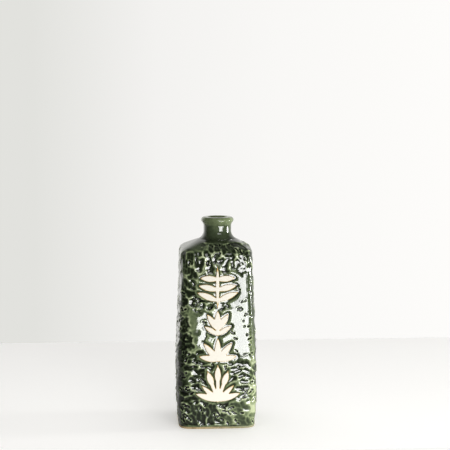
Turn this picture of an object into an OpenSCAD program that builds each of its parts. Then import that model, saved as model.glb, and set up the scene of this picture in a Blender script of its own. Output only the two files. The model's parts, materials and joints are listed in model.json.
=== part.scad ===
// Square bottle vase: two pressed half shells, a base slab, a thrown neck and four relief sprigs.
// The origin is on the table under the middle of the body, +Z up, and -Y is the front.

/* [Body] */
// Width of the body across its flat sides, at the belly
body_w = 90.8; // [76:0.1:110]
// Height of the sides, from the table to where the shoulder edge begins
body_h = 196; // [160:1:240]
// How far the foot sits in from the belly, on each side
foot_inset = 1.8; // [0:0.1:4]
// Height at which the sides reach their belly width
foot_rise = 30; // [15:1:50]
// Height at which the sides begin to lean in
belly_top = 66; // [52:1:110]
// How far the top of the sides leans in from the belly, on each side
lean_inset = 4.1; // [0:0.1:6]
// Squareness of the plan: 2 is a circle, and a higher value is squarer
squareness = 6.5; // [4:0.1:10]
// Thickness of the wall
wall = 5; // [3:0.1:6]

/* [Shoulder] */
// Radius of the shoulder edge
edge_r = 9; // [8:0.5:12]
// Slope of the shoulder, in degrees from level
shoulder_slope = 27; // [22:1:42]
// How far the neck stands to the side of the body's centre
neck_shift = 2.5; // [0:0.1:4]

/* [Neck] */
// Radius of the bore through the neck
bore_r = 10; // [7:0.1:12]
// Thickness of the neck's wall
neck_wall = 5.7; // [4.5:0.1:7]
// Height of the neck above the shoulder
neck_h = 24.7; // [20:0.1:40]
// Radius of the rolled lip's section
lip_r = 4.25; // [3:0.05:5]
// Radius of the hollow curve at the root of the neck
flare_r = 10; // [9.5:0.5:14]
// Height of the hollow curve at the root of the neck
flare_h = 9; // [5:0.5:9]
// Thickness of the spigot that seats in the shoulder
spigot_wall = 3; // [2:0.1:4.5]
// Gap round the spigot, filled with slip
spigot_gap = 0.25; // [0.1:0.05:0.5]

/* [Base] */
// Height of the unglazed edge that shows below the walls
slab_t = 2.5; // [1.5:0.1:6]
// Height of the part of the slab that stands inside the walls
plug_h = 3.5; // [2:0.1:8]
// Gap round the part of the slab inside the walls, filled with slip
plug_gap = 0.3; // [0.1:0.05:0.6]
// Width of the rim that the vase stands on
foot_rim = 9; // [6:0.5:14]
// Depth of the hollow under the foot
foot_hollow = 1.2; // [0.5:0.1:1.4]
// Bevel round the bottom edge
foot_bevel = 0.8; // [0.3:0.1:1.2]

/* [Relief] */
// How far the relief stands out from the wall
relief_h = 1.3; // [0.6:0.1:2.5]
// Gap between the shoulder edge and the top sprig
column_top_gap = 11; // [6:1:20]
// Height of the lowest sprig's foot above the table
column_foot = 33; // [20:1:45]
// Gap between one sprig and the next
sprig_gap = 2; // [1:0.5:5]
// Spread of the bamboo sprig, at the top of the column
bamboo_w = 46; // [30:1:50]
// Spread of the bud sprig
bud_w = 30; // [20:1:50]
// Spread of the orchid sprig
orchid_w = 42; // [30:1:50]
// Spread of the reed sprig, at the foot of the column
reed_w = 50; // [30:1:52]
// Width of a leaf at its widest
leaf_w = 7; // [4:0.1:8]
// Width of a stem at its widest
stem_w = 4.2; // [2:0.1:5]

/* [Hidden] */

glaze = "darkolivegreen";
cream = "cornsilk";
bare_clay = "burlywood";

ring_points = 72;
arc_fn = 96;
leaf_fn = 720; // a leaf's edge is a short stretch of a large circle
root_tuck = 2; // how far a leaf's root runs back past its place on the stem
clear = 1; // how far a cutting form runs past what it cuts

// The neck's outer radii, and the seat that its root stands on
neck_r = bore_r + neck_wall;
root_r = neck_r + flare_r - sqrt(flare_r * flare_r - flare_h * flare_h);
spigot_r = bore_r + spigot_wall;

// The shoulder edge is an arc about (edge_x, body_h), and a straight slope runs on from it
edge_x = half_w(body_h) - edge_r;
edge_turn = 90 - shoulder_slope;
slope_run = edge_x + edge_r * cos(edge_turn) - root_r;
seat_z = body_h + edge_r * sin(edge_turn) + slope_run * tan(shoulder_slope);

// The four sprigs share the height of their column, and each has a share that suits its kind
sprig_step = sprig_gap + root_tuck; // from one sprig's tip to the next one's root
column_h = body_h - column_top_gap - column_foot - 3 * sprig_step;
reed_h = column_h * 0.30;
orchid_h = column_h * 0.18;
bud_h = column_h * 0.19;
bamboo_h = column_h * 0.33;
orchid_z = column_foot + reed_h + sprig_step;
bud_z = orchid_z + orchid_h + sprig_step;
bamboo_z = bud_z + bud_h + sprig_step;

function ease(t) = let (u = min(1, max(0, t))) u * u * (3 - 2 * u);

// Half the body's width at height z
function half_w(z) =
    body_w / 2
    - foot_inset * (1 - ease(z / foot_rise))
    - lean_inset * ease((z - belly_top) / (body_h - belly_top));

// One ring of the square-to-round plan, as points
function signed_power(v, p) = sign(v) * pow(abs(v), p);
function ring(half, power, shift, z) = [
    for (i = [0 : ring_points - 1])
        let (s = 360 * i / ring_points)
            [shift + half * signed_power(cos(s), 2 / power), half * signed_power(sin(s), 2 / power), z]
];

// The side of the form as [half width, height] points, at a depth under the outer surface
function side_profile(depth, floor_z) = concat(
    [for (i = [0 : 3]) let (z = floor_z + (foot_rise - floor_z) * i / 3) [half_w(z) - depth, z]],
    [for (i = [0 : 6]) let (z = belly_top + (body_h - belly_top) * i / 6) [half_w(z) - depth, z]],
    [for (i = [1 : 5]) let (a = edge_turn * i / 5)
        [edge_x + (edge_r - depth) * cos(a), body_h + (edge_r - depth) * sin(a)]],
    [for (i = [1 : 5]) slope_point(depth, i / 5)]
);
function slope_point(depth, t) =
    let (
        low = [edge_x + (edge_r - depth) * cos(edge_turn), body_h + (edge_r - depth) * sin(edge_turn)],
        high = [root_r - depth * tan(shoulder_slope / 2), seat_z - depth]
    )
        low + (high - low) * t;

// How far up the shoulder a height is, from 0 at the edge to 1 at the seat
function rise(z) = max(0, (z - body_h) / (seat_z - body_h));

// A closed solid through a stack of rings
module loft(rings) {
    n = len(rings[0]);
    last = len(rings) - 1;
    sides = [
        for (k = [0 : last - 1]) for (i = [0 : n - 1])
            let (a = k * n + i, b = k * n + (i + 1) % n)
                each [[a, a + n, b], [b, a + n, b + n]]
    ];
    caps = [[for (i = [0 : n - 1]) i], [for (i = [n - 1 : -1 : 0]) last * n + i]];
    polyhedron(points = [for (r = rings) each r], faces = concat(sides, caps));
}

// The body's form at a depth under its outer surface; a negative depth is outside it
module body_form(depth, floor_z) {
    loft([
        for (p = side_profile(depth, floor_z))
            let (t = min(1, rise(p[1])))
                ring(p[0], squareness + (2 - squareness) * t * t, neck_shift * t, p[1])
    ]);
}

module whole_shell() {
    difference() {
        body_form(0, slab_t);
        body_form(wall, slab_t - clear);
        translate([neck_shift, 0, seat_z - wall - clear])
            cylinder(r = spigot_r + spigot_gap, h = wall + 2 * clear, $fn = arc_fn);
    }
}

// Half of space: side -1 is the front and side 1 the back
module half_space(side) {
    reach = body_w;
    translate([-reach, side < 0 ? -reach : 0, 0])
        cube([2 * reach, reach, 2 * body_h]);
}

module front_shell() {
    color(glaze) intersection() {
        whole_shell();
        half_space(-1);
    }
}

module back_shell() {
    color(glaze) intersection() {
        whole_shell();
        half_space(1);
    }
}

module base_slab() {
    foot_half = half_w(0);
    plug_half = half_w(slab_t) - wall - plug_gap;
    color(bare_clay) difference() {
        union() {
            loft([
                ring(foot_half - foot_bevel, squareness, 0, 0),
                ring(half_w(foot_bevel), squareness, 0, foot_bevel),
                ring(half_w(slab_t), squareness, 0, slab_t)
            ]);
            loft([
                ring(plug_half, squareness, 0, slab_t - foot_hollow / 2),
                ring(plug_half, squareness, 0, slab_t + plug_h)
            ]);
        }
        loft([
            ring(foot_half - foot_rim, squareness, 0, -clear),
            ring(foot_half - foot_rim, squareness, 0, foot_hollow)
        ]);
    }
}

// Half section of the neck, from its bore outward, with the seat at height 0
module neck_section() {
    lip_z = neck_h - lip_r;
    difference() {
        union() {
            translate([bore_r, -wall]) square([spigot_wall, wall + flare_h]);
            translate([bore_r, 0]) square([root_r - bore_r, flare_h]);
            translate([bore_r, flare_h]) square([neck_wall, lip_z - flare_h]);
            translate([bore_r + lip_r, lip_z]) circle(r = lip_r, $fn = arc_fn);
        }
        translate([neck_r + flare_r, flare_h]) circle(r = flare_r, $fn = arc_fn);
    }
}

module neck_collar() {
    color(glaze) translate([neck_shift, 0, seat_z])
        rotate_extrude($fn = arc_fn) neck_section();
}

// A pointed leaf that grows along +Y from the origin
module leaf(length, width) {
    bow = (length * length + width * width) / (4 * width);
    intersection_for (side = [-1, 1])
        translate([side * (bow - width / 2), length / 2]) circle(r = bow, $fn = leaf_fn);
}

// A leaf turned about a point of the stem; its root runs back past that point, so that leaves cross
module leaf_at(x, y, turn, length, width) {
    translate([x, y]) rotate(turn) translate([0, -root_tuck]) leaf(length + root_tuck, width);
}

// Raises a flat sprig from the front wall, so that its back lies on the wall
module raised(foot_z) {
    color(cream) intersection() {
        translate([0, 0, foot_z]) rotate([90, 0, 0]) linear_extrude(body_w) children();
        difference() {
            body_form(-relief_h, slab_t);
            body_form(0, slab_t - clear);
        }
    }
}

// A tall stem with three pairs of hanging leaves
module sprig_bamboo() {
    pairs = 3;
    raised(bamboo_z) {
        leaf_at(0, 0, 0, bamboo_h, stem_w);
        for (i = [0 : pairs - 1]) for (side = [-1, 1]) {
            turn = 68 + 9 * i;
            reach = bamboo_w / 2 / sin(turn) * (1 - 0.08 * i);
            leaf_at(0, bamboo_h * (0.16 + 0.26 * i), side * turn, reach, leaf_w);
        }
    }
}

// Three petals over a pair of small leaves
module sprig_bud() {
    raised(bud_z) {
        for (turn = [-34, 0, 34]) leaf_at(0, bud_h * 0.2, turn, bud_h * 0.8, leaf_w);
        for (side = [-1, 1]) leaf_at(0, 0, side * 58, bud_w / 2 / sin(58), leaf_w * 0.8);
        leaf_at(0, 0, 0, bud_h * 0.5, stem_w);
    }
}

// A low fan of blades that all spring from one root
module sprig_orchid() {
    spread = 78;
    raised(orchid_z) {
        for (i = [-2 : 2]) {
            turn = spread * i / 2;
            reach = i == 0 ? orchid_h : min(orchid_w / 2 / sin(abs(turn)), orchid_h);
            leaf_at(0, 0, turn, reach, leaf_w);
        }
    }
}

// Three stems with long seed heads, over two pairs of blades
module sprig_reed() {
    raised(column_foot) {
        for (i = [-1 : 1]) {
            turn = -19 * i;
            stem_h = reed_h * (1 - 0.12 * abs(i));
            leaf_at(0, 0, turn, stem_h, stem_w);
            rotate(turn) translate([0, stem_h * 0.45]) leaf(stem_h * 0.49, leaf_w);
        }
        for (side = [-1, 1]) {
            leaf_at(0, 0, side * 72, reed_w / 2 / sin(72), leaf_w);
            leaf_at(0, 0, side * 46, reed_h * 0.6, leaf_w * 0.8);
        }
    }
}

front_shell();
back_shell();
base_slab();
neck_collar();
sprig_bamboo();
sprig_bud();
sprig_orchid();
sprig_reed();
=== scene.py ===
import json
import math

import bpy
import numpy as np
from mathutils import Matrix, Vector
from mathutils.bvhtree import BVHTree


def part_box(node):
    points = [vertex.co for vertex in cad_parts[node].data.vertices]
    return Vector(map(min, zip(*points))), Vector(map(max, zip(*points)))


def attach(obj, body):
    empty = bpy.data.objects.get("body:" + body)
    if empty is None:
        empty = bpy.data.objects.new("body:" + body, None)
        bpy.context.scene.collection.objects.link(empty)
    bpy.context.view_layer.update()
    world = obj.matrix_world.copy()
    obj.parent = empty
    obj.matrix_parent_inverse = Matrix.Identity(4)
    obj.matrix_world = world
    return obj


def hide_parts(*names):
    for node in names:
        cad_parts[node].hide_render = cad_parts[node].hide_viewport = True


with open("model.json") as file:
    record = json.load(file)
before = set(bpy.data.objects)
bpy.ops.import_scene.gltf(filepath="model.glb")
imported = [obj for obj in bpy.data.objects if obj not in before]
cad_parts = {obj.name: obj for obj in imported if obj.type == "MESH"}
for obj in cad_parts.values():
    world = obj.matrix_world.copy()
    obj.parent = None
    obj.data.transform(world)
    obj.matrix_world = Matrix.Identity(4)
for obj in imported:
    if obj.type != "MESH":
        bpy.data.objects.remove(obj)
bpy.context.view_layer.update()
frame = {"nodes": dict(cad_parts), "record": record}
nodes = frame["nodes"]
print("frame loaded:", sorted(nodes))

# the boxes that every later size and place is taken from
shellLow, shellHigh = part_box("front_shell")
collarLow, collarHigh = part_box("neck_collar")
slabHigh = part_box("base_slab")[1]
mouth = next(m for m in frame["record"]["mounts"] if m["name"] == "mouth_bore")
mouthRadius = mouth["dims"]["r_mm"] / 1000
neckShift = (collarLow[0] + collarHigh[0]) / 2
rootRadius = (collarHigh[0] - collarLow[0]) / 2
seatZ = shellHigh[2]
vaseTop = collarHigh[2]

# the shape of the body, as in the CAD source, in metres
bodyForm = {
    "sideHeight": 0.196,
    "footInset": 0.0018,
    "footRise": 0.030,
    "bellyTop": 0.066,
    "leanInset": 0.0041,
    "squareness": 6.5,
    "wall": 0.005,
    "edgeRadius": 0.009,
    "shoulderSlope": math.radians(27),
}


# adds one node with its settings, and fills its inputs with values or links
def addNode(tree, kind, inputs=(), **settings):
    node = tree.nodes.new(kind)
    for name, value in settings.items():
        setattr(node, name, value)
    for key, value in (inputs.items() if isinstance(inputs, dict) else enumerate(inputs)):
        if isinstance(value, bpy.types.Node):
            value = value.outputs[0]
        if isinstance(value, bpy.types.NodeSocket):
            tree.links.new(value, node.inputs[key])
        else:
            node.inputs[key].default_value = value
    return node


# "#rrggbb" in sRGB to a linear colour
def linearColour(text):
    parts = [int(text[i:i + 2], 16) / 255 for i in (1, 3, 5)]
    return [p / 12.92 if p <= 0.04045 else ((p + 0.055) / 1.055) ** 2.4 for p in parts] + [1.0]


def fillRamp(ramp, stops):
    while len(ramp.elements) < len(stops):
        ramp.elements.new(0.5)
    for element, (place, colour) in zip(ramp.elements, stops):
        element.position = place
        element.color = linearColour(colour)


# camera: 100 mm lens, above the lip and a few degrees to the left of the front
cameraSetup = {
    "lens": 100.0,
    "sensor": 36.0,
    "distance": 1.422,
    "height": 0.378,
    "azimuth": -3.5,
    "aside": 3.955,     # heading of the lens, right of +Y
    "down": 6.075,
}


def makeCamera(setup):
    data = bpy.data.cameras.new("camera")
    data.lens = setup["lens"]
    data.sensor_width = setup["sensor"]
    camera = bpy.data.objects.new("camera", data)
    bpy.context.scene.collection.objects.link(camera)
    a = math.radians(setup["azimuth"])
    camera.location = (math.sin(a) * setup["distance"], -math.cos(a) * setup["distance"], setup["height"])
    camera.rotation_euler = (math.radians(90 - setup["down"]), 0, -math.radians(setup["aside"]))
    bpy.context.scene.camera = camera


makeCamera(cameraSetup)


# works out a list of steps: each is a name, what to do, and the terms, which are earlier names or numbers
def workOut(tree, known, steps):
    for name, operation, *terms in steps:
        terms = [known.get(term, term) if isinstance(term, str) else term for term in terms]
        if operation in ("LINEAR", "SMOOTHSTEP"):   # carries a value over from one range to another
            known[name] = addNode(tree, "ShaderNodeMapRange", terms, interpolation_type=operation)
        else:
            known[name] = addNode(tree, "ShaderNodeMath", terms, operation=operation)


# the carved skin of the body
carving = {
    "columns": 520,
    "rows": 340,
    "insideColumns": 96,
    "insideRows": 60,
    "scoops": {"spacing": 0.0058, "share": 0.80, "length": (0.001, 0.010), "curl": 0.6, "spread": 30,
               "reach": 0.0046, "seed": 4},
    "slits": {"spacing": 0.0048, "share": 0.34, "length": (0.0006, 0.0048), "curl": 0.7, "spread": 30,
              "reach": 0.0013, "seed": 11},
    "scoopDepth": 0.0013,
    "slitDepth": 0.0009,
    "slitFloor": 0.0003,    # half the width of a slit's flat bottom
    "burr": 0.00018,        # how high a slit throws up the clay beside it
    "proud": 0.0005,        # how far the uncut skin stands out from the CAD wall
    "undulation": 0.0007,   # how far the wall swells and sinks over its length
    "ripple": 0.0002,       # and over a few millimetres
    "wobble": 0.0030,       # how far the outline of a cut wanders
    "ragged": 0.0009,       # and how far its edge is frayed
    "strayAcross": 0.020,   # how much the borders of the calm zones stray sideways
    "strayUp": 0.040,       # and upwards
    "calmScoops": 0.96,     # how much of the scoops, the slits and the swell a calm zone loses
    "calmSlits": 0.3,
    "calmSwell": 0.88,
    "lowCalm": 0.55,        # how calm the foot of the right-hand side is
    "patchCalm": 0.85,      # and the smaller patch on the left
    "facetFall": 0.0010,    # how far the calm right-hand part of the front leans back by its outer edge
    "patchTilt": 0.0006,    # and how far the patch on the left is turned
    "swirl": 3.0,           # how much the strokes turn from place to place, in radians
    "broadScale": 22.0,     # noise repeats in a metre: swells 45 mm long
    "patchScale": 30.0,     # patches of slits 33 mm across
    "fineScale": 120.0,     # wandering of 8 mm
    "tinyScale": 420.0,     # frayed edges of 2.4 mm
}

# what is measured, from where to where it counts, in metres, and the share or angle at either end
carvingZones = {
    "offNeck": ("fromAxis", 0.0265, 0.0310, 0.0, 1.0),
    "offFoot": ("pz", 0.003, 0.006, 0.0, 1.0),
    "offRelief": ("besideRelief", 0.0008, 0.0042, 0.0, 1.0),
    "patchy": ("patch", 0.34, 0.54, 0.0, 1.0),          # slits come in patches
    "onShoulder": ("pz", 0.1990, 0.2030, 0.0, 1.0),     # the shoulder is plain to the left of the neck
    "leftOfNeck": ("strayX", -0.019, -0.009, 1.0, 0.0),
    "leftCorner": ("strayX", -0.042, -0.034, 0.55, 0.0),
    "topBand": ("strayZ", 0.146, 0.166, 0.0, 0.65),     # fewer slits near the top
    "rightSide": ("strayX", 0.006, 0.014, 0.0, 1.0),
    "frontSide": ("py", -0.036, -0.030, 1.0, 0.0),
    "aboveLow": ("strayZ", 0.066, 0.090, 0.0, 1.0),
    "belowHigh": ("strayZ", 0.172, 0.186, 1.0, 0.0),
    "lowBand": ("strayZ", 0.030, 0.044, 1.0, 0.0),
    "patchFrom": ("strayX", -0.036, -0.030, 0.0, 1.0),
    "patchTo": ("strayX", -0.014, -0.010, 1.0, 0.0),
    "patchAbove": ("strayZ", 0.094, 0.102, 0.0, 1.0),
    "patchBelow": ("strayZ", 0.132, 0.142, 1.0, 0.0),
    "upright": ("pz", 0.143, 0.167, math.pi / 2, 0.15),  # strokes lie across below, and stand above
    "nearFoot": ("pz", 0.022, 0.036, -0.9, 0.0),
}

skinInputs = [
    ("Columns", "NodeSocketInt"), ("Rows", "NodeSocketInt"), ("Floor", "NodeSocketFloat"),
    ("Depth", "NodeSocketFloat"), ("Edge radius", "NodeSocketFloat"), ("Wall length", "NodeSocketFloat"),
    ("Arc length", "NodeSocketFloat"), ("Profile length", "NodeSocketFloat"), ("Carving", "NodeSocketFloat"),
    ("Relief", "NodeSocketObject"), ("Material", "NodeSocketMaterial"),
]
skinMarks = ("carve", "ridge", "pit")   # what the skin stores for the glaze


# scatters short strokes over the skin, and gives the distance from each point to the nearest one
def addStrokes(tree, skin, layer, density, lean, sample):
    thickness = layer["share"] / layer["spacing"] ** 2
    scattered = addNode(tree, "GeometryNodeDistributePointsOnFaces", {
        "Mesh": skin, "Density": addNode(tree, "ShaderNodeMath", [density, thickness], operation="MULTIPLY"),
        "Seed": layer["seed"]})
    outward = addNode(tree, "FunctionNodeAlignRotationToVector",
                      {"Vector": scattered.outputs["Normal"]}, axis="Z")
    upright = addNode(tree, "FunctionNodeAlignRotationToVector",
                      {"Rotation": outward, "Vector": (0, 0, 1)}, axis="Y", pivot_axis="Z")
    spread = math.radians(layer["spread"])
    chance = addNode(tree, "FunctionNodeRandomValue", {2: -spread, 3: spread, "Seed": layer["seed"] + 1})
    angle = addNode(tree, "ShaderNodeMath", [lean, chance.outputs[1]], operation="ADD")
    spin = addNode(tree, "FunctionNodeAxisAngleToRotation", [(0, 0, 1), angle])
    turned = addNode(tree, "FunctionNodeRotateRotation", [upright, spin], rotation_space="LOCAL")
    # a stroke is a line one unit long, bowed by the square of its length and then scaled
    line = addNode(tree, "GeometryNodeMeshLine", {
        "Count": 5, "Start Location": (0, -0.5, 0), "Offset": (0, 0.25, 0)})
    along = addNode(tree, "ShaderNodeSeparateXYZ", [addNode(tree, "GeometryNodeInputPosition")])
    squared = addNode(tree, "ShaderNodeMath", [along.outputs[1], along.outputs[1]], operation="MULTIPLY")
    bow = addNode(tree, "ShaderNodeCombineXYZ", [squared])
    stroke = addNode(tree, "GeometryNodeSetPosition", {"Geometry": line, "Offset": bow})
    size = addNode(tree, "FunctionNodeRandomValue",
                   {2: layer["length"][0], 3: layer["length"][1], "Seed": layer["seed"] + 2})
    curl = addNode(tree, "FunctionNodeRandomValue",
                   {2: -layer["curl"], 3: layer["curl"], "Seed": layer["seed"] + 3})
    bend = addNode(tree, "ShaderNodeMath", [curl.outputs[1], size.outputs[1]], operation="MULTIPLY")
    scale = addNode(tree, "ShaderNodeCombineXYZ", [bend, size.outputs[1], 1.0])
    placed = addNode(tree, "GeometryNodeInstanceOnPoints", {
        "Points": scattered, "Instance": stroke, "Rotation": turned, "Scale": scale})
    strokes = addNode(tree, "GeometryNodeRealizeInstances", [placed])
    near = addNode(tree, "GeometryNodeProximity",
                   {"Geometry": strokes, "Sample Position": sample}, target_element="EDGES")
    return near.outputs["Distance"]


# a flat grid of columns and rows becomes the square-to-round loft
def addLoft(tree, known, form):
    workOut(tree, known, [
        ("gridColumns", "ADD", "Columns", 1),
        ("gridRows", "ADD", "Rows", 1),
        ("v", "ADD", "py", 0.5),
        ("up", "MULTIPLY", "v", "Profile length"),
        ("onWall", "MINIMUM", "up", "Wall length"),
        ("pastWall", "SUBTRACT", "up", "onWall"),
        ("onArc", "MINIMUM", "pastWall", "Arc length"),
        ("onSlope", "SUBTRACT", "pastWall", "onArc"),
        ("turn", "DIVIDE", "onArc", "Edge radius"),
        ("sinTurn", "SINE", "turn"),
        ("cosTurn", "COSINE", "turn"),
        ("wallZ", "ADD", "onWall", "Floor"),
        ("arcZ", "MULTIPLY_ADD", "sinTurn", "Edge radius", "wallZ"),
        ("z", "MULTIPLY_ADD", "onSlope", math.sin(form["shoulderSlope"]), "arcZ"),
        ("footIn", "SMOOTHSTEP", "wallZ", 0.0, form["footRise"], form["footInset"], 0.0),
        ("leanIn", "SMOOTHSTEP", "wallZ", form["bellyTop"], form["sideHeight"], 0.0, form["leanInset"]),
        ("rise", "LINEAR", "z", form["sideHeight"], seatZ, 0.0, 1.0),
        ("aboveFoot", "SUBTRACT", shellHigh[0], "footIn"),
        ("belowLean", "SUBTRACT", "aboveFoot", "leanIn"),
        ("flat", "SUBTRACT", "belowLean", "Depth"),
        ("edgeCentre", "SUBTRACT", "flat", "Edge radius"),
        ("arcOut", "MULTIPLY_ADD", "cosTurn", "Edge radius", "edgeCentre"),
        ("half", "MULTIPLY_ADD", "onSlope", -math.cos(form["shoulderSlope"]), "arcOut"),
        # the outline is a superellipse, square on the body and round at the neck
        ("riseSquared", "MULTIPLY", "rise", "rise"),
        ("power", "MULTIPLY_ADD", "riseSquared", 2 - form["squareness"], form["squareness"]),
        ("around", "MULTIPLY_ADD", "px", 4.0, 2.5),
        ("side", "FLOOR", "around"),
        ("fromCorner", "FRACT", "around"),
        ("across", "MULTIPLY_ADD", "fromCorner", 2.0, -1.0),
        ("swing", "ARCTANGENT", "across"),
        ("halfTurn", "ADD", "swing", math.pi),
        ("angle", "MULTIPLY_ADD", "side", math.pi / 2, "halfTurn"),
        ("cosine", "COSINE", "angle"),
        ("sine", "SINE", "angle"),
        ("sizeCosine", "ABSOLUTE", "cosine"),
        ("sizeSine", "ABSOLUTE", "sine"),
        ("powerCosine", "POWER", "sizeCosine", "power"),
        ("powerSine", "POWER", "sizeSine", "power"),
        ("powerSum", "ADD", "powerCosine", "powerSine"),
        ("root", "DIVIDE", -1.0, "power"),
        ("stretch", "POWER", "powerSum", "root"),
        ("radius", "MULTIPLY", "stretch", "half"),
        ("shift", "MULTIPLY", "rise", neckShift),
        ("x", "MULTIPLY_ADD", "radius", "cosine", "shift"),
        ("y", "MULTIPLY", "radius", "sine"),
    ])
    grid = addNode(tree, "GeometryNodeMeshGrid", {
        "Size X": 1.0, "Size Y": 1.0,
        "Vertices X": known["gridColumns"], "Vertices Y": known["gridRows"]})
    lofted = addNode(tree, "ShaderNodeCombineXYZ", [known["x"], known["y"], known["z"]])
    return addNode(tree, "GeometryNodeSetPosition", {"Geometry": grid, "Position": lofted})


# how thickly the skin is cut from place to place, and which way the strokes lean
def addZones(tree, known, carve):
    relief = addNode(tree, "GeometryNodeObjectInfo", [known["Relief"]])
    beside = addNode(tree, "GeometryNodeProximity", [relief.outputs["Geometry"]], target_element="FACES")
    broad = addNode(tree, "ShaderNodeTexNoise", {"Scale": carve["broadScale"], "Detail": 1.0})
    fine = addNode(tree, "ShaderNodeTexNoise", {"Scale": carve["fineScale"], "Detail": 2.0})
    patch = addNode(tree, "ShaderNodeTexNoise", {
        "Scale": carve["patchScale"], "Detail": 2.0, "Distortion": 0.4})
    known.update(besideRelief=beside.outputs["Distance"], broad=broad.outputs[0], patch=patch.outputs[0],
                 fine=fine.outputs[0], fineColour=fine.outputs["Color"])
    workOut(tree, known, [
        ("fromAxisX", "SUBTRACT", "px", neckShift),
        ("squareX", "MULTIPLY", "fromAxisX", "fromAxisX"),
        ("squareSum", "MULTIPLY_ADD", "py", "py", "squareX"),
        ("fromAxis", "SQRT", "squareSum"),
        ("pushedX", "MULTIPLY_ADD", "fine", carve["strayAcross"], "px"),
        ("strayX", "SUBTRACT", "pushedX", carve["strayAcross"] / 2),
        ("pushedZ", "MULTIPLY_ADD", "fine", carve["strayUp"], "pz"),
        ("strayZ", "SUBTRACT", "pushedZ", carve["strayUp"] / 2),
    ])
    workOut(tree, known, [(name, "SMOOTHSTEP", *zone) for name, zone in carvingZones.items()])
    workOut(tree, known, [
        # two calm zones on the right of the front, and a patch on the left
        ("calmBand", "MULTIPLY", "aboveLow", "belowHigh"),
        ("calmSide", "MULTIPLY", "rightSide", "frontSide"),
        ("lowRight", "MULTIPLY", "lowBand", "calmSide"),
        ("calmLow", "MULTIPLY", "lowRight", carve["lowCalm"]),
        ("calmHigh", "MULTIPLY", "calmBand", "calmSide"),
        ("patchAcross", "MULTIPLY", "patchFrom", "patchTo"),
        ("patchUp", "MULTIPLY", "patchAbove", "patchBelow"),
        ("patchBoth", "MULTIPLY", "patchAcross", "patchUp"),
        ("patchFront", "MULTIPLY", "patchBoth", "frontSide"),
        ("patchLeft", "MULTIPLY", "patchFront", carve["patchCalm"]),
        ("calmSides", "MAXIMUM", "calmHigh", "calmLow"),
        ("calm", "MAXIMUM", "calmSides", "patchLeft"),
        ("leftEdge", "MULTIPLY", "leftCorner", "frontSide"),
        ("still", "MAXIMUM", "calm", "leftEdge"),
        ("busy", "MULTIPLY_ADD", "still", -carve["calmScoops"], 1.0),
        ("quiet", "MULTIPLY_ADD", "calm", -carve["calmSwell"], 1.0),
        # nothing is cut at either end, by the relief, or on the plain part of the shoulder
        ("plain", "MULTIPLY", "onShoulder", "leftOfNeck"),
        ("offPlain", "SUBTRACT", 1.0, "plain"),
        ("offEnds", "MULTIPLY", "offNeck", "offFoot"),
        ("offEdges", "MULTIPLY", "offEnds", "offPlain"),
        ("mask", "MULTIPLY", "offEdges", "offRelief"),
        ("scoopMask", "MULTIPLY", "mask", "busy"),
        ("slitShare", "MULTIPLY_ADD", "calm", -carve["calmSlits"], 1.0),
        ("slitMask", "MULTIPLY", "slitShare", "mask"),
        ("fewAbove", "SUBTRACT", 1.0, "topBand"),
        ("slitPatches", "MULTIPLY", "patchy", "fewAbove"),
        ("slitDensity", "MULTIPLY", "slitMask", "slitPatches"),
        ("turning", "MULTIPLY_ADD", "broad", carve["swirl"], -carve["swirl"] / 2),
        ("leanBase", "ADD", "upright", "nearFoot"),
        ("lean", "ADD", "leanBase", "turning"),
        # the calm zones are planed a little off the true wall
        ("patchSlope", "LINEAR", "px", -0.032, -0.012, carve["patchTilt"], -carve["patchTilt"]),
        ("patchFall", "MULTIPLY", "patchSlope", "patchLeft"),
        ("fallAcross", "LINEAR", "px", 0.004, 0.040, 0.0, -carve["facetFall"]),
        ("facetFall", "MULTIPLY", "fallAcross", "frontSide"),
    ])


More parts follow.
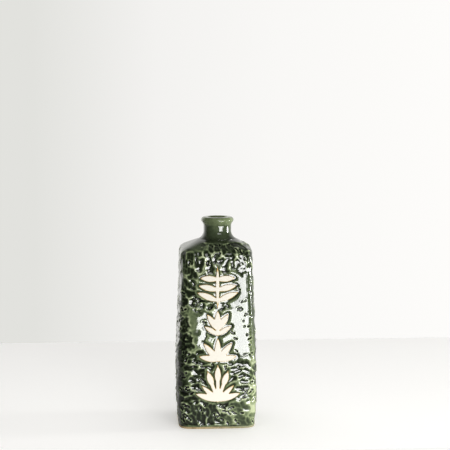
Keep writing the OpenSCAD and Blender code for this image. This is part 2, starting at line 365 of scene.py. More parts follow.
def buildSkinTree(form, carve):
    tree = bpy.data.node_groups.new("vaseSkin", "GeometryNodeTree")
    tree.interface.new_socket("Geometry", in_out="OUTPUT", socket_type="NodeSocketGeometry")
    for name, kind in skinInputs:
        tree.interface.new_socket(name, in_out="INPUT", socket_type=kind)
    known = {socket.name: socket for socket in addNode(tree, "NodeGroupInput").outputs}
    position = addNode(tree, "GeometryNodeInputPosition")
    place = addNode(tree, "ShaderNodeSeparateXYZ", [position])
    known.update(px=place.outputs[0], py=place.outputs[1], pz=place.outputs[2])
    skin = addLoft(tree, known, form)
    addZones(tree, known, carve)

    # the cuts are measured from a place that wanders a little, so that their outlines wander too
    tiny = addNode(tree, "ShaderNodeTexNoise", {"Scale": carve["tinyScale"], "Detail": 1.0})
    shifts = []
    for colour, reach in ((known["fineColour"], carve["wobble"]), (tiny.outputs["Color"], carve["ragged"])):
        centred = addNode(tree, "ShaderNodeVectorMath", [colour, (-0.5, -0.5, -0.5)], operation="ADD")
        shifts.append(addNode(tree, "ShaderNodeVectorMath", {0: centred, "Scale": reach}, operation="SCALE"))
    wandered = addNode(tree, "ShaderNodeVectorMath", shifts, operation="ADD")
    sample = addNode(tree, "ShaderNodeVectorMath", [position, wandered], operation="ADD")
    scoops, slits = carve["scoops"], carve["slits"]
    known["scoopGap"] = addStrokes(tree, skin, scoops, known["scoopMask"], known["lean"], sample)
    known["slitGap"] = addStrokes(tree, skin, slits, known["slitDensity"], known["lean"], sample)

    # scoops and slits sink into the wall, and each slit throws up a burr
    reach = slits["reach"]
    workOut(tree, known, [
        ("slitInside", "SMOOTHSTEP", "slitGap", carve["slitFloor"], reach, 1.0, 0.0),
        ("burrUp", "SMOOTHSTEP", "slitGap", reach * 0.8, reach * 1.25, 0.0, carve["burr"]),
        ("burrDown", "SMOOTHSTEP", "slitGap", reach * 1.25, reach * 2.0, 1.0, 0.0),
        ("scoopShare", "DIVIDE", "scoopGap", scoops["reach"]),
        ("scoopInside", "MINIMUM", "scoopShare", 1.0),
        ("scoopRise", "MULTIPLY", "scoopInside", "scoopInside"),
        ("scoop", "MULTIPLY_ADD", "scoopRise", carve["scoopDepth"], -carve["scoopDepth"]),
        ("facet", "MULTIPLY", "facetFall", "calmBand"),
        ("burr", "MULTIPLY", "burrUp", "burrDown"),
        ("scooped", "MULTIPLY", "scoop", "scoopMask"),
        ("pit", "MULTIPLY", "slitInside", "slitMask"),
        ("slitted", "MULTIPLY_ADD", "slitInside", -carve["slitDepth"], "burr"),
        ("slitHeight", "MULTIPLY", "slitted", "slitMask"),
        ("swell", "MULTIPLY_ADD", "broad", 2 * carve["undulation"], -carve["undulation"]),
        ("rippled", "MULTIPLY_ADD", "fine", 2 * carve["ripple"], -carve["ripple"]),
        ("rolling", "ADD", "swell", "rippled"),
        ("rolledQuiet", "MULTIPLY", "rolling", "quiet"),
        ("raised", "ADD", "rolledQuiet", carve["proud"]),
        ("rolled", "MULTIPLY", "raised", "mask"),
        ("patchMasked", "MULTIPLY", "patchFall", "mask"),
        ("facets", "ADD", "facet", "patchMasked"),
        ("leaning", "ADD", "rolled", "facets"),
        ("cuts", "ADD", "scooped", "slitHeight"),
        ("rawHeight", "ADD", "cuts", "leaning"),
        ("rawCarved", "MULTIPLY", "rawHeight", "Carving"),
    ])
    height = addNode(tree, "GeometryNodeBlurAttribute", [known["rawCarved"], 1], data_type="FLOAT")
    average = addNode(tree, "GeometryNodeBlurAttribute", [known["rawCarved"], 9], data_type="FLOAT")
    ridge = addNode(tree, "ShaderNodeMath", [height, average], operation="SUBTRACT")
    marked = skin
    for name, value in zip(skinMarks, (height, ridge, known["pit"])):
        marked = addNode(tree, "GeometryNodeStoreNamedAttribute",
                         {"Geometry": marked, "Name": name, "Value": value}, data_type="FLOAT")
    normal = addNode(tree, "GeometryNodeInputNormal")
    stored = addNode(tree, "GeometryNodeInputNamedAttribute", ["carve"], data_type="FLOAT")
    push = addNode(tree, "ShaderNodeVectorMath", {0: normal, "Scale": stored}, operation="SCALE")
    carved = addNode(tree, "GeometryNodeSetPosition", {"Geometry": marked, "Offset": push})
    real = addNode(tree, "GeometryNodeRealizeInstances", [carved])
    finish = addNode(tree, "GeometryNodeSetMaterial", {"Geometry": real, "Material": known["Material"]})
    addNode(tree, "NodeGroupOutput", [finish])
    return tree


# runs the skin tree once and returns its grid of points, normals and marks
def evaluateSkin(tree, name, depth, columns, rows, carved, guide, material, form):
    radius = form["edgeRadius"] - depth
    slope = form["shoulderSlope"]
    turn = math.pi / 2 - slope
    topHalf = shellHigh[0] - form["leanInset"] - form["edgeRadius"]
    slopeEnd = rootRadius - depth * math.tan(slope / 2)
    slopeLength = (topHalf + radius * math.cos(turn) - slopeEnd) / math.cos(slope)
    wallLength = form["sideHeight"] - shellLow[2]
    inputs = {
        "Columns": columns, "Rows": rows, "Floor": shellLow[2], "Depth": depth, "Edge radius": radius,
        "Wall length": wallLength, "Arc length": radius * turn,
        "Profile length": wallLength + radius * turn + slopeLength,
        "Carving": carved, "Relief": guide, "Material": material,
    }
    holder = bpy.data.objects.new(name, bpy.data.meshes.new(name))
    bpy.context.scene.collection.objects.link(holder)
    modifier = holder.modifiers.new("skin", "NODES")
    modifier.node_group = tree
    for item in tree.interface.items_tree:
        if item.in_out == "INPUT":
            modifier[item.identifier] = inputs[item.name]
    holder.update_tag()
    graph = bpy.context.evaluated_depsgraph_get()
    mesh = bpy.data.meshes.new_from_object(holder.evaluated_get(graph))
    shape = (columns + 1, rows + 1)
    points = np.empty(len(mesh.vertices) * 3)
    mesh.vertices.foreach_get("co", points)
    normals = np.empty(len(mesh.vertices) * 3)
    mesh.vertex_normals.foreach_get("vector", normals)
    skin = {"points": points.reshape(*shape, 3), "normals": normals.reshape(*shape, 3)}
    for mark in skinMarks:
        values = np.empty(len(mesh.vertices))
        mesh.attributes[mark].data.foreach_get("value", values)
        skin[mark] = values.reshape(shape)
    for key in skin:    # the first and last columns are one line
        both = (skin[key][0] + skin[key][-1]) / 2
        skin[key][0] = both
        skin[key][-1] = both
    bpy.data.objects.remove(holder)
    bpy.data.meshes.remove(mesh)
    return skin


# joins two rows of points, given as vertex numbers, with a strip of triangles
def strip(first, second):
    faces = []
    i = j = 0
    while i < len(first) - 1 or j < len(second) - 1:
        firstNext = (i + 1) / (len(first) - 1) if i < len(first) - 1 else 2
        secondNext = (j + 1) / (len(second) - 1) if j < len(second) - 1 else 2
        if firstNext <= secondNext:
            faces.append((first[i], first[i + 1], second[j]))
            i += 1
        else:
            faces.append((first[i], second[j + 1], second[j]))
            j += 1
    return faces


# one closed half shell: carved outside, smooth inside, and rims between them
def makeShell(name, outer, inner, side, material):
    parts = []
    faces = []
    count = 0
    grids = []
    for skin in (outer, inner):
        half = (skin["points"].shape[0] - 1) // 2
        chosen = slice(0, half + 1) if side < 0 else slice(half, 2 * half + 1)
        block = {key: value[chosen] for key, value in skin.items()}
        columns, rows = block["points"].shape[:2]
        index = np.arange(columns * rows).reshape(columns, rows) + count
        corners = [index[:-1, :-1], index[1:, :-1], index[1:, 1:], index[:-1, 1:]]
        if skin is inner:
            corners.reverse()
        faces += np.stack([c.ravel() for c in corners], axis=1).tolist()
        parts.append(block)
        grids.append(index)
        count += columns * rows
    out, into = grids
    faces += [f[::-1] for f in strip(out[:, 0].tolist(), into[:, 0].tolist())]
    faces += strip(out[:, -1].tolist(), into[:, -1].tolist())
    faces += strip(out[0, :].tolist(), into[0, :].tolist())
    faces += [f[::-1] for f in strip(out[-1, :].tolist(), into[-1, :].tolist())]
    mesh = bpy.data.meshes.new(name)
    points = np.concatenate([p["points"].reshape(-1, 3) for p in parts])
    mesh.from_pydata(points, [], faces)
    mesh.polygons.foreach_set("use_smooth", np.ones(len(mesh.polygons), bool))
    for mark in skinMarks:
        layer = mesh.attributes.new(mark, "FLOAT", "POINT")
        layer.data.foreach_set("value", np.concatenate([p[mark].ravel() for p in parts]))
    normals = np.concatenate([parts[0]["normals"].reshape(-1, 3), -parts[1]["normals"].reshape(-1, 3)])
    mesh.normals_split_custom_set_from_vertices(normals)
    mesh.materials.append(material)
    shell = bpy.data.objects.new(name, mesh)
    bpy.context.scene.collection.objects.link(shell)
    return shell


def makePiece(name, points, faces, material):
    mesh = bpy.data.meshes.new(name)
    mesh.from_pydata(points, [], faces)
    mesh.polygons.foreach_set("use_smooth", np.ones(len(mesh.polygons), bool))
    mesh.materials.append(material)
    piece = bpy.data.objects.new(name, mesh)
    bpy.context.scene.collection.objects.link(piece)
    return piece


# a closed surface turned about an upright axis, from a closed outline of [radius, height] points
def makeTurned(name, outline, centreX, segments, material):
    points = []
    faces = []
    count = len(outline)
    for k in range(segments):
        a = 2 * math.pi * k / segments
        points += [(centreX + r * math.cos(a), r * math.sin(a), z) for r, z in outline]
    for k in range(segments):
        here, there = k * count, (k + 1) % segments * count
        for i in range(count):
            j = (i + 1) % count
            faces.append((here + i, there + i, there + j, here + j))
    return makePiece(name, points, faces, material)


# points along an arc about (x, y), with the angles in degrees
def arc(x, y, radius, start, end, steps):
    angles = [math.radians(start + (end - start) * i / steps) for i in range(steps + 1)]
    return [(x + radius * math.cos(a), y + radius * math.sin(a)) for a in angles]


# the thrown neck: a hollow curve up from the shoulder, a waist, and a lip rolled out and over
neckForm = {
    "waist": 0.0158,
    "rootTop": 0.0090,      # height of the hollow curve above the shoulder
    "rootCurve": 0.0100,
    "lipTube": 0.0034,
    "lipReach": 0.0186,
    "lipHollow": 0.0075,
    "throat": 0.0022,       # rounding inside the mouth
    "boreRing": 0.003,      # the bore goes down from there in seven rings
    "spigot": 0.0130,
    "spigotLength": 0.005,
    "lipThinning": 0.00010,     # the glaze is thin and pale on the lip, as on a ridge of the body
    "segments": 192,
    "steps": (14, 14, 22, 8),   # along the root curve, the hollow, the lip and the throat
}


def makeCollar(form, material):
    waist = form["waist"]
    tube = form["lipTube"]
    tubeR = form["lipReach"] - tube
    tubeZ = vaseTop - tube
    # hollow under the lip: its centre lies outside the neck, touching both the waist and the tube
    hollowR = waist + form["lipHollow"]
    drop = math.sqrt((form["lipHollow"] + tube) ** 2 - (hollowR - tubeR) ** 2)
    hollowZ = tubeZ - drop
    meet = math.degrees(math.atan2(drop, tubeR - hollowR))
    rootR = waist + form["rootCurve"]
    rootZ = seatZ + form["rootTop"]
    rootAngle = 180 + math.degrees(math.asin(form["rootTop"] / form["rootCurve"]))
    throat = form["throat"]
    rootSteps, hollowSteps, lipSteps, throatSteps = form["steps"]
    outline = [(form["spigot"], seatZ - form["spigotLength"]), (form["spigot"], seatZ)]
    outline += arc(rootR, rootZ, form["rootCurve"], rootAngle, 180, rootSteps)
    outline += [(waist, rootZ + (hollowZ - rootZ) * i / 6) for i in range(1, 6)]
    outline += arc(hollowR, hollowZ, form["lipHollow"], 180, meet, hollowSteps)
    outline += arc(tubeR, tubeZ, tube, meet - 180, 90, lipSteps)[1:]
    outline += arc(mouthRadius + throat, vaseTop - throat, throat, 90, 180, throatSteps)
    outline += [(mouthRadius, vaseTop - throat - form["boreRing"] * i) for i in range(1, 8)]
    outline += [(mouthRadius, seatZ - form["spigotLength"])]
    neck = makeTurned("neck", outline, neckShift, form["segments"], material)
    thinning = [form["lipThinning"] * min(1, max(0, (z - tubeZ + 2 * tube) / tube)) for _, z in outline]
    layer = neck.data.attributes.new("ridge", "FLOAT", "POINT")
    layer.data.foreach_set("value", thinning * form["segments"])
    return neck


# the slab: a bevelled, unglazed edge, a hollow foot, and the plug that stands inside the walls
slabForm = {
    "bevel": 0.0008,
    "rim": 0.009,
    "hollow": 0.0012,
    "gap": 0.0003,          # between the plug and the walls
    "topRounding": (0.0004, 0.0003),    # of the upper edge, inwards and downwards
    "rimSlope": (0.0006, 0.0004),       # rounding of the hollow's edge, outwards and upwards
    "columns": 240,
}


def makeSlab(form, body, material):
    footHalf = shellHigh[0] - body["footInset"]
    topHalf = slabHigh[0]
    lipZ = shellLow[2]
    plugHalf = topHalf - body["wall"] - form["gap"]
    inside = footHalf - form["rim"]
    bevel = form["bevel"]
    topIn, topDown = form["topRounding"]
    rimOut, rimUp = form["rimSlope"]
    edgeZ = lipZ - topDown
    outline = [(plugHalf * i / 6, slabHigh[2]) for i in range(1, 7)]
    outline += [(plugHalf, lipZ), (topHalf - topIn, lipZ), (topHalf, edgeZ)]
    outline += [(footHalf + (topHalf - footHalf) * t, bevel + (edgeZ - bevel) * t) for t in (0.66, 0.33)]
    outline += arc(footHalf - bevel, bevel, bevel, 0, -90, 6)
    outline += [(inside + rimOut, 0.0), (inside, rimUp), (inside - rimUp, form["hollow"])]
    outline += [(inside * i / 6, form["hollow"]) for i in (5, 4, 3, 2, 1)]
    count = form["columns"]
    points = []
    power = body["squareness"]
    for half, z in outline:
        for k in range(count):
            side, w = divmod(k * 8 / count + 1, 2)
            a = side * math.pi / 2 + math.atan(w - 1)
            c, s = math.cos(a), math.sin(a)
            r = half * (abs(c) ** power + abs(s) ** power) ** (-1 / power)
            points.append((r * c, r * s, z))
    faces = []
    for i in range(len(outline) - 1):
        for k in range(count):
            n = (k + 1) % count
            faces.append((i * count + k, (i + 1) * count + k, (i + 1) * count + n, i * count + n))
    points += [(0, 0, slabHigh[2]), (0, 0, form["hollow"])]
    top, bottom = len(points) - 2, len(points) - 1
    last = (len(outline) - 1) * count
    faces += [(top, k, (k + 1) % count) for k in range(count)]
    faces += [(bottom, last + (k + 1) % count, last + k) for k in range(count)]
    return makePiece("foot_slab", points, faces, material)


# the sprigs: softened copies of the CAD relief, tucked a little into the wall behind them
sprigForm = {
    "voxel": 0.00034,       # fine enough for the tips of the leaves
    "softening": 0.5,
    "smoothing": 12,
    "backBand": 0.00035,    # what lies this close to the wall is the back, and is tucked in
    "tuck": 0.0006,
    "rimSpread": 12,        # how many points inwards the burnt rim reaches
}


def makeSprig(nodeName, wallTree, form, material):
    source = nodes[nodeName]
    piece = bpy.data.objects.new(nodeName.replace("sprig_", "relief_"), source.data.copy())
    bpy.context.scene.collection.objects.link(piece)
    weld = piece.modifiers.new("weld", "WELD")
    weld.merge_threshold = 1e-6
    remesh = piece.modifiers.new("remesh", "REMESH")
    remesh.mode = "VOXEL"
    remesh.voxel_size = form["voxel"]
    soften = piece.modifiers.new("soften", "SMOOTH")
    soften.factor = form["softening"]
    soften.iterations = form["smoothing"]
    graph = bpy.context.evaluated_depsgraph_get()
    mesh = bpy.data.meshes.new_from_object(piece.evaluated_get(graph))
    piece.modifiers.clear()
    piece.data = mesh
    lifts = []
    for vertex in mesh.vertices:
        spot, normal, _, _ = wallTree.find_nearest(vertex.co)
        lift = (vertex.co - spot).dot(normal)
        lifts.append(lift)
        if lift < form["backBand"]:
            vertex.co -= normal * form["tuck"]
    # each point takes the mean of its neighbours, again and again, so that the rim shows as a lower lift
    lifts = np.array(lifts)
    pairs = np.empty(len(mesh.edges) * 2, int)
    mesh.edges.foreach_get("vertices", pairs)
    pairs = pairs.reshape(-1, 2)
    neighbours = np.maximum(np.bincount(pairs.ravel(), minlength=len(lifts)), 1)
    for _ in range(form["rimSpread"]):
        total = np.bincount(pairs[:, 0], lifts[pairs[:, 1]], len(lifts))
        total += np.bincount(pairs[:, 1], lifts[pairs[:, 0]], len(lifts))
        lifts = total / neighbours
    layer = mesh.attributes.new("lift", "FLOAT", "POINT")
    layer.data.foreach_set("value", lifts)
    mesh.polygons.foreach_set("use_smooth", np.ones(len(mesh.polygons), bool))
    mesh.materials.clear()
    mesh.materials.append(material)
    return piece


def newMaterial(name):
    material = bpy.data.materials.new(name)
    material.use_nodes = True
    tree = material.node_tree
    tree.nodes.clear()
    shader = addNode(tree, "ShaderNodeBsdfPrincipled")
    addNode(tree, "ShaderNodeOutputMaterial", [shader])
    return material, tree, shader


# what every finish ends in: its colour, its fine relief, and how it shines
def finishShader(tree, shader, look, colour, height):
    tree.links.new(colour, shader.inputs["Base Color"])
    bump = addNode(tree, "ShaderNodeBump", {
        "Strength": look["bumpStrength"], "Distance": look["bumpHeight"], "Height": height})
    tree.links.new(bump.outputs[0], shader.inputs["Normal"])
    shader.inputs["Roughness"].default_value = look["roughness"]
    shader.inputs["IOR"].default_value = look["ior"]


# copper-green glaze over stoneware: near black where it pools, sage where it runs thin on a ridge
glazeLook = {
    "pool": "#080a06",
    "thick": "#1b2114",
    "middle": "#3c4531",
    "thin": "#6b7655",
    "bare": "#9ba381",
    "places": (0.0, 0.25, 0.5, 0.78, 1.0),  # where those five stand, from thickest to barest
    "roughness": 0.07,
    "ior": 1.5,
    "bumpStrength": 0.05,
    "bumpHeight": 0.0001,
    "cloudScale": 90.0,     # noise repeats in a metre: clouds 11 mm across
    "speckScale": 700.0,    # specks of 1.4 mm
    "waveScale": 420.0,     # the uneven surface of a fired glaze, 2.4 mm from swell to swell
    "flat": 0.51,           # how bare the uncut wall is
    "perHeight": 190.0,     # barer for each metre that the carving stands higher
    "perRidge": 2200.0,     # and that it stands above what is round it
    "ridgeFloor": -0.00008,
    "perSlit": -0.55,
    "perCloud": 0.5,
    "perSpeck": 0.16,
    "noiseMean": -0.33,     # takes off what the two noises add on the whole
    # from where to where it is paler or darker, and by how much at either end
    # painted light: the right-hand corners are lighter in colour, as the key on the right lights them
    "paintedLightRightCorners": (0.00145, 0.00166, 0.0, 0.38),      # by the product of x and y, in square metres
    # painted shade: the left-hand corners are deeper in colour, on the side away from the key
    "paintedShadeLeftCorners": (-0.00166, -0.00138, -0.22, 0.0),
    "paintedShadeLeftSide": (-0.044, 0.004, -0.08, 0.0),            # painted shade: deeper in colour low down on the left, away from the key light
    # the painted shade on the left fades out between these heights
    "paintedShadeLowDown": (0.090, 0.130, 1.0, 0.0),
    "neckFoot": (0.2060, 0.2115, 0.0, -0.22),           # it gathers where the neck meets the shoulder
    "neckWaist": (0.2125, 0.2215, 1.0, 0.0),
}


def makeGlaze(look):
    material, tree, shader = newMaterial("copperGreenGlaze")
    place = addNode(tree, "ShaderNodeTexCoord").outputs["Object"]
    axes = addNode(tree, "ShaderNodeSeparateXYZ", [place])
    known = {"x": axes.outputs[0], "y": axes.outputs[1], "z": axes.outputs[2]}
    for mark in skinMarks:
        known[mark] = addNode(tree, "ShaderNodeAttribute", attribute_name=mark).outputs["Fac"]
    known["cloud"] = addNode(tree, "ShaderNodeTexNoise", {
        "Vector": place, "Scale": look["cloudScale"], "Detail": 4.0, "Roughness": 0.6})
    known["speck"] = addNode(tree, "ShaderNodeTexNoise", {
        "Vector": place, "Scale": look["speckScale"], "Detail": 3.0, "Roughness": 0.7})
    workOut(tree, known, [
        ("crest", "MAXIMUM", "ridge", look["ridgeFloor"]),
        ("height", "MULTIPLY_ADD", "carve", look["perHeight"], look["flat"]),
        ("sunk", "MULTIPLY_ADD", "pit", look["perSlit"], "height"),
        ("edge", "MULTIPLY_ADD", "crest", look["perRidge"], "sunk"),
        ("depthways", "ABSOLUTE", "y"),
        ("corner", "MULTIPLY", "x", "depthways"),
        # painted light on the right-hand corners and painted shade on the left-hand corners, added to the
        # glaze level
        ("paler", "LINEAR", "corner", *look["paintedLightRightCorners"]),
        ("darker", "LINEAR", "corner", *look["paintedShadeLeftCorners"]),
        # painted shade low down on the left side
        ("leftward", "LINEAR", "x", *look["paintedShadeLeftSide"]),
        ("downward", "LINEAR", "z", *look["paintedShadeLowDown"]),
        ("toNeck", "LINEAR", "z", *look["neckFoot"]),
        ("upNeck", "LINEAR", "z", *look["neckWaist"]),
        ("corners", "ADD", "paler", "darker"),
        ("low", "MULTIPLY_ADD", "leftward", "downward", "corners"),
        ("pooled", "MULTIPLY_ADD", "toNeck", "upNeck", "low"),
        ("uneven", "ADD", "edge", "pooled"),
        ("cloudy", "MULTIPLY_ADD", "cloud", look["perCloud"], "uneven"),
        ("specked", "MULTIPLY_ADD", "speck", look["perSpeck"], "cloudy"),
    ])
    level = addNode(tree, "ShaderNodeMath", [known["specked"], look["noiseMean"]],
                    operation="ADD", use_clamp=True)
    ramp = addNode(tree, "ShaderNodeValToRGB", [level])
    colours = [look[name] for name in ("pool", "thick", "middle", "thin", "bare")]
    fillRamp(ramp.color_ramp, list(zip(look["places"], colours)))
    wave = addNode(tree, "ShaderNodeTexNoise", {"Vector": place, "Scale": look["waveScale"], "Detail": 2.0})
    finishShader(tree, shader, look, ramp.outputs["Color"], wave.outputs[0])
    return material


# cream slip wiped over the relief: satin, chalky, and burnt ochre where it thins at the edges
slipLook = {
    "edge": "#a8803c",
    "turn": "#cfb170",
    "face": "#c4beae",
    "high": "#cec9bc",
    "places": (0.0, 0.45, 0.74, 1.0),
    "lift": (0.00088, 0.00123, 0.0, 0.88),  # from the rim to the face of a sprig, by how far it stands out
    "perCloud": 0.28,
    "roughness": 0.42,
    "ior": 1.5,
    "bumpStrength": 0.35,
    "bumpHeight": 0.0002,
    "cloudScale": 260.0,    # noise repeats in a metre: brush marks of 4 mm
    "grainScale": 1500.0,   # chalky grain of 0.7 mm, coarser than the real one so that it shows
}


def makeSlip(look):
    material, tree, shader = newMaterial("creamSlip")
    place = addNode(tree, "ShaderNodeTexCoord").outputs["Object"]
    lift = addNode(tree, "ShaderNodeAttribute", attribute_name="lift").outputs["Fac"]
    cloud = addNode(tree, "ShaderNodeTexNoise", {
        "Vector": place, "Scale": look["cloudScale"], "Detail": 4.0, "Roughness": 0.6})
    raised = addNode(tree, "ShaderNodeMapRange", [lift, *look["lift"]])
    level = addNode(tree, "ShaderNodeMath", [cloud, look["perCloud"], raised],
                    operation="MULTIPLY_ADD", use_clamp=True)
    ramp = addNode(tree, "ShaderNodeValToRGB", [level])
    colours = [look[name] for name in ("edge", "turn", "face", "high")]
    fillRamp(ramp.color_ramp, list(zip(look["places"], colours)))
    grain = addNode(tree, "ShaderNodeTexNoise", {"Vector": place, "Scale": look["grainScale"], "Detail": 3.0})
    finishShader(tree, shader, look, ramp.outputs["Color"], grain.outputs[0])
    return material


# bare fired stoneware at the foot: matt, sandy, toasted ochre with a few iron specks
clayLook = {
    "dark": "#7d6b47",
    "light": "#b9a67c",
    "places": (0.32, 0.66),
    "speck": "#4c3a22",
    "run": "#8a8e6f",
    "runAcross": (0.012, 0.050, 0.0, 0.85),     # glaze has run over the foot towards its right-hand end
    "runAbove": (0.0002, 0.0010, 0.0, 1.0),     # but not over the underside
    "runUneven": 0.05,
    "roughness": 0.85,
    "ior": 1.5,
    "bumpStrength": 0.6,
    "bumpHeight": 0.0003,
    "cloudScale": 110.0,    # noise repeats in a metre: toasted patches of 9 mm
    "speckScale": 420.0,    # an iron speck every 2.4 mm
    "speckSize": (0.10, 0.20, 0.65, 0.0),
    "grainScale": 1800.0,   # sand of 0.6 mm
}


def makeClay(look):
    material, tree, shader = newMaterial("bareStoneware")
    place = addNode(tree, "ShaderNodeTexCoord").outputs["Object"]
    axes = addNode(tree, "ShaderNodeSeparateXYZ", [place])
    cloud = addNode(tree, "ShaderNodeTexNoise", {
        "Vector": place, "Scale": look["cloudScale"], "Detail": 6.0, "Roughness": 0.65})
    specks = addNode(tree, "ShaderNodeTexVoronoi", {"Vector": place, "Scale": look["speckScale"]})
    known = {"x": axes.outputs[0], "z": axes.outputs[2],
             "cloud": cloud, "fromSpeck": specks.outputs["Distance"]}
    workOut(tree, known, [
        ("near", "LINEAR", "fromSpeck", *look["speckSize"]),
        ("pooled", "MULTIPLY_ADD", "cloud", look["runUneven"], "x"),
        ("spread", "LINEAR", "pooled", *look["runAcross"]),
        ("above", "LINEAR", "z", *look["runAbove"]),
        ("run", "MULTIPLY", "spread", "above"),
    ])
    ramp = addNode(tree, "ShaderNodeValToRGB", [cloud])
    fillRamp(ramp.color_ramp, list(zip(look["places"], (look["dark"], look["light"]))))
    specked = addNode(tree, "ShaderNodeMix", {
        0: known["near"], 6: ramp, 7: linearColour(look["speck"])}, data_type="RGBA")
    covered = addNode(tree, "ShaderNodeMix", {
        0: known["run"], 6: specked.outputs[2], 7: linearColour(look["run"])}, data_type="RGBA")
    grain = addNode(tree, "ShaderNodeTexNoise", {
        "Vector": place, "Scale": look["grainScale"], "Detail": 4.0, "Roughness": 0.7})
    finishShader(tree, shader, look, covered.outputs[2], grain.outputs[0])
    return material


glaze = makeGlaze(glazeLook)
slip = makeSlip(slipLook)
clay = makeClay(clayLook)
print("materials made")


# the relief as one guide, so that the carving keeps clear of it
def makeGuide(names):
    points = []
    faces = []
    for name in names:
        mesh = nodes[name].data
        start = len(points)
        points += [tuple(v.co) for v in mesh.vertices]
        faces += [tuple(start + i for i in p.vertices) for p in mesh.polygons]
    together = bpy.data.meshes.new("reliefGuide")
    together.from_pydata(points, [], faces)
    guide = bpy.data.objects.new("reliefGuide", together)
    bpy.context.scene.collection.objects.link(guide)
    return guide


sprigNames = [name for name in sorted(nodes) if name.startswith("sprig_")]
guide = makeGuide(sprigNames)
skinTree = buildSkinTree(bodyForm, carving)
outerSkin = evaluateSkin(skinTree, "outerSkin", 0.0, carving["columns"], carving["rows"], 1.0,
                         guide, glaze, bodyForm)
innerSkin = evaluateSkin(skinTree, "innerSkin", bodyForm["wall"], carving["insideColumns"],
                         carving["insideRows"], 0.0, guide, glaze, bodyForm)
print("skins made")

# the plain wall behind the sprigs
wallPoints = [tuple(v.co) for v in nodes["front_shell"].data.vertices]
wallFaces = [tuple(p.vertices) for p in nodes["front_shell"].data.polygons]
wallTree = BVHTree.FromPolygons(wallPoints, wallFaces)

pieces = {
    "front_shell": (makeShell("shell_front", outerSkin, innerSkin, -1, glaze), "green_glaze"),
    "back_shell": (makeShell("shell_back", outerSkin, innerSkin, 1, glaze), "green_glaze"),
    "neck_collar": (makeCollar(neckForm, glaze), "neck_glaze"),
    "base_slab": (makeSlab(slabForm, bodyForm, clay), "bare_clay"),
}
for name in sprigNames:
    pieces[name] = (makeSprig(name, wallTree, sprigForm, slip), "cream_slip")
bpy.data.objects.remove(guide)
for node, (piece, slotName) in pieces.items():
    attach(piece, "root")
    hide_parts(node)
print("pieces made:", {piece.name: len(piece.data.polygons) for piece, _ in pieces.values()})

# a pale shooting table, lit a little from below
stageSetup = {
    "floorFront": -0.135,
    "floorBack": 0.46,
    "floorSide": 1.8,
    "floorColour": "#fbfaf8",
    "floorMirrored": "#5e5d5b",     # the glaze meets a darker table than the lens does, as under a black card
    "floorGlow": 0.28,
    "floorRoughness": 0.6,
    "floorSpecular": 0.2,
}


def makeFloor(setup):
    side, front, back = setup["floorSide"], setup["floorFront"], setup["floorBack"]
    material, tree, shader = newMaterial("paleTable")
    mirrored = addNode(tree, "ShaderNodeLightPath").outputs["Is Glossy Ray"]
    shade = addNode(tree, "ShaderNodeMix", {
        0: mirrored, 6: linearColour(setup["floorColour"]), 7: linearColour(setup["floorMirrored"])},
        data_type="RGBA")
    tree.links.new(shade.outputs[2], shader.inputs["Base Color"])
    shader.inputs["Roughness"].default_value = setup["floorRoughness"]
    shader.inputs["Specular IOR Level"].default_value = setup["floorSpecular"]
    shader.inputs["Emission Color"].default_value = linearColour(setup["floorColour"])
    shader.inputs["Emission Strength"].default_value = setup["floorGlow"]
    floor = makePiece("floor", [(-side, front, 0), (side, front, 0), (side, back, 0), (-side, back, 0)],
                      [(0, 1, 2, 3)], material)


makeFloor(stageSetup)

# a soft box in three panes to the right of the lens, a key light further round, and two soft ones.
# each has a place, a point that it faces, its two sides in metres, and its power in watts
lights = {
    "softBox": {"place": (0.325, -0.84, -0.003), "target": (0, 0, 0.14),
                "size": (0.56, 0.165), "power": 6.1},
    "softBoxTop": {"place": (0.40, -0.84, 0.112), "target": (0, 0, 0.14),
                   "size": (0.40, 0.065), "power": 1.6},
    "softBoxSide": {"place": (0.725, -0.79, -0.003), "target": (0, 0, 0.14),
                    "size": (0.29, 0.165), "power": 2.7},
    "keyRight": {"place": (1.70, 0.05, 0.10), "target": (0, 0, 0.12),
                 "size": (0.20, 0.46), "power": 31.0},
    "overhead": {"place": (0.05, -0.16, 1.50), "target": (0, 0, 0.10),
                 "size": (1.6, 1.6), "power": 11.0},
    "fill": {"place": (0.35, -1.50, 0.80), "target": (0, 0, 0.12),
             "size": (0.8, 0.5), "power": 6.0},
}
for name, light in lights.items():
    data = bpy.data.lights.new(name, "AREA")
    data.shape = "RECTANGLE"
    data.size, data.size_y = light["size"]
    data.energy = light["power"]
    lamp = bpy.data.objects.new(name, data)
    bpy.context.scene.collection.objects.link(lamp)
    lamp.location = light["place"]
    lamp.visible_glossy = name != "overhead"    # it lights the table, and the glaze doesn't mirror it
    aim = Vector(light["target"]) - Vector(light["place"])
    lamp.rotation_euler = aim.to_track_quat("-Z", "Y").to_euler()


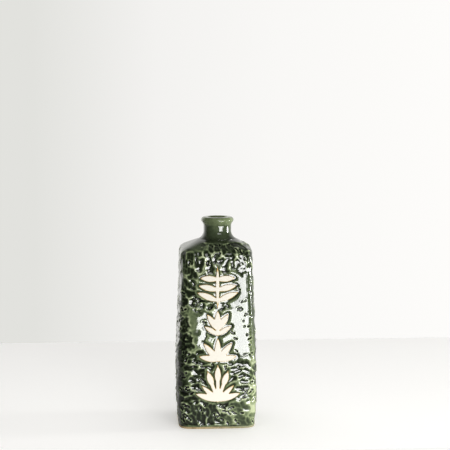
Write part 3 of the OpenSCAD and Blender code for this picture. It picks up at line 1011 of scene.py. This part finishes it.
# the room: a pale backdrop for the lens, and for the glaze a pale wall behind and a dim room in front.
# a range goes from one heading to another, in parts of a unit vector, and gives the share at either end
roomSetup = {
    "backdrop": [(0.09, "#e2e2de"), (0.32, "#f3f2f0"), (0.55, "#f9f8f6"), (0.85, "#fdfcfa")],
    "backdropAcross": (-0.12, 0.30, 0.0, 1.0),
    "dim": "#343331",
    "pale": "#f4f3f0",
    "behind": (0.15, 0.42, 0.0, 1.0),
    "below": (0.35, 0.75, 1.0, 0.12),
    "panel": (0.50, 0.75, 0.0, 0.9),    # a brighter panel behind on the left
    "panelLeft": (-0.40, -0.15, 1.0, 0.0),
}


def makeWorld(setup):
    world = bpy.data.worlds.new("studio")
    world.use_nodes = True
    tree = world.node_tree
    tree.nodes.clear()
    direction = addNode(tree, "ShaderNodeTexCoord").outputs["Generated"]
    heading = addNode(tree, "ShaderNodeSeparateXYZ", [direction])
    known = {"right": heading.outputs[0], "back": heading.outputs[1], "up": heading.outputs[2],
             "seen": addNode(tree, "ShaderNodeLightPath").outputs["Is Camera Ray"]}
    workOut(tree, known, [
        ("across", "LINEAR", "right", *setup["backdropAcross"]),
        ("behind", "SMOOTHSTEP", "back", *setup["behind"]),
        ("below", "SMOOTHSTEP", "up", *setup["below"]),
        ("pale", "MULTIPLY", "behind", "below"),
        ("panel", "SMOOTHSTEP", "back", *setup["panel"]),
        ("leftward", "LINEAR", "right", *setup["panelLeft"]),
        ("unseen", "SUBTRACT", 1.0, "seen"),
        ("panelLeft", "MULTIPLY", "panel", "leftward"),
        ("panelLow", "MULTIPLY", "panelLeft", "below"),
        ("strength", "MULTIPLY_ADD", "panelLow", "unseen", 1.0),
    ])
    backdrop = addNode(tree, "ShaderNodeValToRGB", [known["across"]])
    fillRamp(backdrop.color_ramp, setup["backdrop"])
    room = addNode(tree, "ShaderNodeValToRGB", [known["pale"]])
    fillRamp(room.color_ramp, [(0.0, setup["dim"]), (1.0, setup["pale"])])
    mixed = addNode(tree, "ShaderNodeMix", {0: known["seen"], 6: room, 7: backdrop}, data_type="RGBA")
    background = addNode(tree, "ShaderNodeBackground", {
        "Color": mixed.outputs[2], "Strength": known["strength"]})
    addNode(tree, "ShaderNodeOutputWorld", [background])
    bpy.context.scene.world = world


makeWorld(roomSetup)
bpy.context.scene.view_settings.view_transform = "Standard"
print("stage and lights made")
